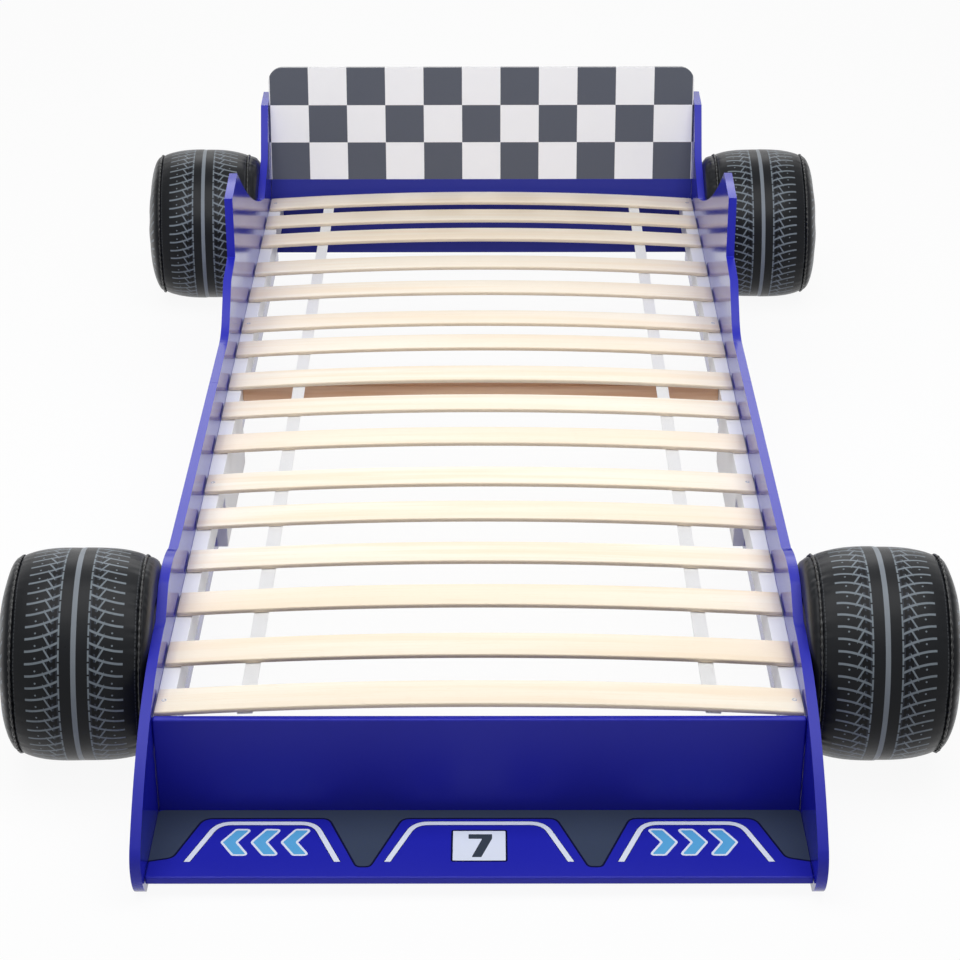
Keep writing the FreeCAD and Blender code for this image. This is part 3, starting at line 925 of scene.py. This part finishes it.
CHEVRON_MIDDLE = 300.0
CHEVRON_PITCH = 42.0
CHEVRON_HALF = 29.0  # half of its size from back to front
CHEVRON_BAR = 21.0
CHEVRON_REACH = 18.0  # of its tip past its ends
CHEVRON_DEPTH = 77.2
CHEVRON_CORNER = 4.0
CHEVRON_OUTLINE = 3.4


def band_print(band, outlines):
    edge = mirrored(BAND_HALF) + list(BAND_HALF)
    band.area(rounded(edge + list(BAND_BACK)))
    outlines.stroke(rounded(edge), BAND_OUTLINE, OUTLINE_FILM)


def arch_print(outlines, lines):
    for arch in (ARCH_CENTRE, ARCH_INNER, mirrored(ARCH_INNER)):
        path = rounded(arch, ARCH_CORNER)
        outlines.stroke(path, LINE_WIDTH + 2 * OUTLINE_WIDTH)
        lines.stroke(path, LINE_WIDTH, TOP_FILM)


def plate_print(outlines, lines, number):
    plate = rounded(PLATE, PLATE_CORNER)
    outlines.stroke(plate, PLATE_OUTLINE, OUTLINE_FILM, closed=True)
    lines.area(plate)
    number.area(rounded(NUMBER, NUMBER_CORNER), TOP_FILM)


def chevron(tip, side):
    """Outline of a chevron that points outwards, with its tip that far from the centre."""
    shoulder = tip - CHEVRON_REACH
    back, front = CHEVRON_DEPTH - CHEVRON_HALF, CHEVRON_DEPTH + CHEVRON_HALF
    shape = ((shoulder - CHEVRON_BAR, back), (shoulder, back), (tip, CHEVRON_DEPTH), (shoulder, front),
             (shoulder - CHEVRON_BAR, front), (tip - CHEVRON_BAR, CHEVRON_DEPTH))
    return rounded([(side * x, y) for x, y in shape], CHEVRON_CORNER)


def chevron_print(chevrons, lines):
    for side in (-1, 1):
        for k in (-1, 0, 1):
            outline = chevron(CHEVRON_MIDDLE + CHEVRON_PITCH * k + CHEVRON_REACH, side)
            chevrons.area(outline)
            lines.stroke(outline, CHEVRON_OUTLINE, TOP_FILM, closed=True)


def nose_print():
    band = Print("print_band", "decal_grey")
    outlines = Print("print_outlines", "decal_dark")
    lines = Print("print_lines", "decal_line")
    chevrons = Print("print_chevrons", "decal_sky")
    number = Print("print_number", "decal_ink")
    band_print(band, outlines)
    arch_print(outlines, lines)
    plate_print(outlines, lines, number)
    chevron_print(chevrons, lines)
    for colour in (band, outlines, lines, chevrons, number):
        colour.make()


# ======== stuffed wheels

TREAD_HALF = 92 * MM
INNER_SEAM = 15.5 * MM  # from the panel's face
SEAM_RADIUS = 144.5 * MM
BULGE = 30 * MM
DOME_POWER = 0.9  # under 1, so the outer face fills out near its middle
INNER_SHOULDER = 118 * MM  # radius where the inner face starts to round off
RECESS_RADIUS = 93.5 * MM
RECESS_DEPTH = 12.3 * MM
RECESS_FLOOR = 0.6  # share of its radius with a ring of vertices
RECESS_LIP = ((0.8 * MM, 0.4 * MM), (0.0, 1.5 * MM))  # steps of its edge: inwards, and off its radius
SOFT_GAP = 0.3 * MM
AXIS_HOLE = 0.5 * MM  # the sections stop this short of the axis
AROUND = 324
BARREL_POWER = 3.0
FACE_STEPS = 6
SHOULDER_STEPS = 12
BARREL_STEPS = 60
DOME_STEPS = 36

GATHER_INNER = 1.7 * MM
GATHER_OUTER = 1.0 * MM
GATHER_REACH = 12 * MM
PINCH_DEPTH = 2.4 * MM
PINCH_REACH = 3.5 * MM
LUMP_HEIGHT = 0.9 * MM
STILL_REACH = 10 * MM  # nothing gathers further than this past the inner seam

PIPING_RADIUS = 1.9 * MM
PIPING_SIDES = 10
PIPING_GATHERS = (0.28, 81)  # share of its radius, and how many round a seam
PIPING_SWELLS = (0.12, 31)
PIPING_PROUD = 0.4 * MM
PIPING_WANDER = 0.8 * MM

# how each soft wheel shears on its bolted face: millimetres outwards, degrees of toe-out and of lean
WHEEL_LEAN = {
    "wheel_front_left": (4.5, 2.94, -1.89),
    "wheel_front_right": (1.9, 1.29, -0.16),
    "wheel_rear_left": (9.4, 3.25, -1.28),
    "wheel_rear_right": (12.1, 0.94, -1.57),
}


def inner_profile():
    """From the middle of the hub's recess, over its lip and the inner face, to the inner seam."""
    face = -TREAD_HALF - INNER_SEAM + SOFT_GAP
    floor_x = -TREAD_HALF - INNER_SEAM + RECESS_DEPTH
    profile = [(floor_x, r) for r in (AXIS_HOLE, RECESS_RADIUS * RECESS_FLOOR, RECESS_RADIUS)]
    profile += [(face + inwards, RECESS_RADIUS + off) for inwards, off in RECESS_LIP]
    rise = INNER_SHOULDER - RECESS_RADIUS
    profile += [(face, RECESS_RADIUS + rise * i / FACE_STEPS) for i in range(1, FACE_STEPS + 1)]
    for i in range(1, SHOULDER_STEPS + 1):
        turn = math.radians(90 * i / SHOULDER_STEPS)
        profile.append((-TREAD_HALF - (INNER_SEAM - SOFT_GAP) * math.cos(turn),
                        INNER_SHOULDER + (SEAM_RADIUS - INNER_SHOULDER) * math.sin(turn)))
    return profile


def wheel_profile(radius):
    """Section of a wheel from the middle of its inner face, over the tread, to the outer middle."""
    profile = inner_profile()
    for i in range(1, BARREL_STEPS):
        out = 2 * i / BARREL_STEPS - 1
        drop = (radius - SEAM_RADIUS) * abs(out) ** BARREL_POWER
        profile.append((TREAD_HALF * out, radius - drop))
    for i in range(DOME_STEPS + 1):
        turn = math.radians(90 * i / DOME_STEPS)
        reach = max(SEAM_RADIUS * math.cos(turn), AXIS_HOLE)
        profile.append((TREAD_HALF + BULGE * math.sin(turn) ** DOME_POWER, reach))
    return profile


def pucker(turn, seed):
    """Irregular gathers round a seam, between -1 and 1."""
    wave = math.sin(46 * turn + 2.1 * math.sin(3 * turn + seed) + seed)
    wave += 0.6 * math.sin(71 * turn + 1.7 * math.sin(5 * turn + 2 * seed))
    wave += 0.5 * math.sin(23 * turn + 1.3 * math.sin(2 * turn - seed) + 4 * seed)
    swell = 0.55 + 0.45 * math.sin(4 * turn + 1.9 * seed) * math.sin(7 * turn - seed)
    return wave / 2.1 * swell


def softness(x, r, turn, seed):
    """How far the cover stands in or out: gathers, a pinched seam and a slow unevenness."""
    seam_gap = min(math.hypot(x - s * TREAD_HALF, r - SEAM_RADIUS) for s in (-1, 1))
    depth = GATHER_INNER if x < 0 else GATHER_OUTER
    gather = depth * math.exp(-seam_gap / GATHER_REACH) * pucker(turn, seed)
    pinch = PINCH_DEPTH * math.exp(-seam_gap / PINCH_REACH)
    lump = LUMP_HEIGHT * math.sin(3 * turn + 9 * x + seed) * math.sin(5 * turn - 31 * x + 2 * seed)
    return gather - pinch + lump


def leaned(x, y, z, side, lean):
    """The point as the cushion shears outwards from its bolted inner face to its inner seam."""
    out, toe, camber = lean
    t = (x + TREAD_HALF + INNER_SEAM - SOFT_GAP) / (INNER_SEAM - SOFT_GAP)
    t = min(max(t, 0.0), 1.0)
    shear = out * MM + math.tan(math.radians(toe)) * side * y + math.tan(math.radians(camber)) * z
    return (x + t * t * (3 - 2 * t) * shear, y, z)


def wheel_cushion(node, number, radius, side):
    """Vertices of a cushion as leaned, and as they lie before it leans and gathers, and its faces."""
    profile = wheel_profile(radius)
    rings = len(profile)
    verts, flat = [], []
    for i, (x, r) in enumerate(profile):
        before = Vector(profile[max(i - 1, 0)])
        after = Vector(profile[min(i + 1, rings - 1)])
        along = (after - before).normalized()
        still = x < -TREAD_HALF - STILL_REACH
        seed = 1.7 * number + (0.9 if x > 0 else 0.0)
        for k in range(AROUND):
            turn = 2 * math.pi * k / AROUND
            push = 0.0 if still else softness(x, r, turn, seed)
            reach = r + push * along.x
            place = (x - push * along.y, -math.cos(turn) * reach, math.sin(turn) * reach)
            verts.append(leaned(*place, side, WHEEL_LEAN[node]))
            flat.append((x, -math.cos(turn) * r, math.sin(turn) * r))
    return verts, flat, capped_tube(rings, AROUND)


def wheel_piping(node, number, side):
    """Gathered cord in both seams."""
    verts, faces = [], []
    rings = AROUND * 2
    for seam in (-1, 1):
        start = len(verts)
        for k in range(rings):
            turn = 2 * math.pi * k / rings
            swell = 1 + PIPING_GATHERS[0] * math.sin(PIPING_GATHERS[1] * turn + number)
            swell += PIPING_SWELLS[0] * math.sin(PIPING_SWELLS[1] * turn)
            ring = SEAM_RADIUS + PIPING_PROUD + PIPING_WANDER * pucker(turn, number + seam)
            for j in range(PIPING_SIDES):
                roll = 2 * math.pi * j / PIPING_SIDES
                reach = ring + PIPING_RADIUS * swell * math.cos(roll)
                x = seam * TREAD_HALF + PIPING_RADIUS * swell * math.sin(roll)
                place = (x, -math.cos(turn) * reach, math.sin(turn) * reach)
                verts.append(leaned(*place, side, WHEEL_LEAN[node]))
        faces += tube_faces(rings, PIPING_SIDES, True, start)
    return verts, faces


def wheel_piece(node, number):
    """A wheel is made for the right side, and turned half round for the left."""
    lowest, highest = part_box(node)
    side = 1 if highest.x > 0 else -1
    centre = Vector((side * (PANEL_OUT + INNER_SEAM + TREAD_HALF), (lowest.y + highest.y) / 2,
                     (lowest.z + highest.z) / 2))
    verts, flat, faces = wheel_cushion(node, number, (highest.z - lowest.z) / 2, side)
    wheel = new_piece(f"{node}_cushion", verts, faces, "tyre", centre=centre)
    attribute = wheel.data.attributes.new("flat", "FLOAT_VECTOR", "POINT")
    attribute.data.foreach_set("vector", [value for place in flat for value in place])
    verts, faces = wheel_piping(node, number, side)
    piping = new_piece(f"{node}_piping", verts, faces, "piping", centre=centre)
    if side < 0:
        for obj in (wheel, piping):
            obj.rotation_euler = (0, 0, math.pi)
    bpy.context.view_layer.update()
    for obj in (wheel, piping):
        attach(obj, "root")
    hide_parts(node)


# ======== surroundings

FLOOR_SIZE = 40.0
FLOOR_GREY = rgb(248, 248, 248)
BACKGROUND_SHARE = 0.93  # how far the floor is lifted to plain white for the eye
AMBIENT = 0.2  # light of the surroundings where the lamps don't reach

# place and target in metres, size in metres, watts
LAMPS = {
    "overhead_softbox": ((0, -0.5, 2.4), (0, 0.9, 0.2), (3.2, 2.2), 62),
    "front_strip": ((0, -2.4, 2.6), (0, -0.9, 0.1), (3.4, 0.2), 8),
    "rear_softbox": ((0, 4.2, 2.6), (0, 0.3, 0.2), (4.0, 1.6), 36),
}


def eye_rays(tree):
    """1 for what is seen directly, in a mirror or through glass, 0 for light that falls on things."""
    light_path = tree.nodes.new("ShaderNodeLightPath")
    total = light_path.outputs["Is Camera Ray"]
    for name in ("Is Glossy Ray", "Is Transmission Ray"):
        node = tree.nodes.new("ShaderNodeMath")
        node.operation = "MAXIMUM"
        tree.links.new(total, node.inputs[0])
        tree.links.new(light_path.outputs[name], node.inputs[1])
        total = node.outputs[0]
    return total


def floor_material():
    """Pale matt floor that keeps shadows, and is otherwise lifted to white where the eye sees it."""
    shader = Shader("studio_floor", Base_Color=FLOOR_GREY, Roughness=0.9, Specular_IOR_Level=0.0)
    share = shader.times(eye_rays(shader.tree), BACKGROUND_SHARE)
    white = shader.add("Emission").outputs[0]
    mix = shader.add("MixShader", {0: share, 1: shader.bsdf.outputs[0], 2: white})
    shader.set(shader.tree.nodes["Material Output"], {0: mix.outputs[0]})
    return shader.material


def floor():
    bpy.ops.mesh.primitive_plane_add(size=FLOOR_SIZE, location=(0, 0, 0))
    obj = bpy.context.object
    obj.name = "studio_floor"
    obj.data.materials.append(floor_material())


def world():
    scene_world = bpy.data.worlds.new("studio")
    bpy.context.scene.world = scene_world
    scene_world.use_nodes = True
    tree = scene_world.node_tree
    background = tree.nodes["Background"]
    background.inputs["Color"].default_value = (1, 1, 1, 1)
    scale = tree.nodes.new("ShaderNodeMapRange")
    scale.inputs["To Min"].default_value = AMBIENT
    scale.inputs["To Max"].default_value = 1.0
    tree.links.new(eye_rays(tree), scale.inputs["Value"])
    tree.links.new(scale.outputs[0], background.inputs["Strength"])


def lights():
    for name, (place, target, size, watts) in LAMPS.items():
        data = bpy.data.lights.new(name, "AREA")
        data.shape = "RECTANGLE"
        data.size, data.size_y = size
        data.energy = watts
        obj = add_object(name, data, place)
        obj.rotation_euler = (Vector(target) - Vector(place)).to_track_quat("-Z", "Y").to_euler()


CAMERA_PITCH = math.radians(28.02)
CAMERA_TURN = 0.0032  # radians to the left
CAMERA_ROLL = -0.0024  # radians about the line of sight
CAMERA_RIGHT = 0.0105
CAMERA_BACK = 2.656  # in front of the footboard's inner face
CAMERA_ABOVE_SEAT = 1.79
SENSOR_WIDTH = 36
FOCAL_PIXELS = 2275
IMAGE_PIXELS = 960


def camera():
    data = bpy.data.cameras.new("camera")
    data.sensor_width = SENSOR_WIDTH
    data.lens = SENSOR_WIDTH * FOCAL_PIXELS / IMAGE_PIXELS
    place = (CAMERA_RIGHT, FOOT_Y - CAMERA_BACK, SEAT + CAMERA_ABOVE_SEAT)
    obj = add_object("camera", data, place)
    aim = Matrix.Rotation(CAMERA_TURN, 3, "Z") @ Matrix.Rotation(math.pi / 2 - CAMERA_PITCH, 3, "X")
    obj.rotation_euler = (aim @ Matrix.Rotation(CAMERA_ROLL, 3, "Z")).to_euler()
    bpy.context.scene.camera = obj


# ======== assembly

finish_nodes()
for index, slat_node in enumerate(SLATS):
    slat_piece(slat_node, index)
slat_screws()
for strap_node in ("strap_left", "strap_right"):
    strap_piece(strap_node)
nose_print()
for index, wheel_node in enumerate(WHEELS):
    wheel_piece(wheel_node, index)
floor()
world()
lights()
camera()
bpy.context.scene.view_settings.view_transform = "Standard"
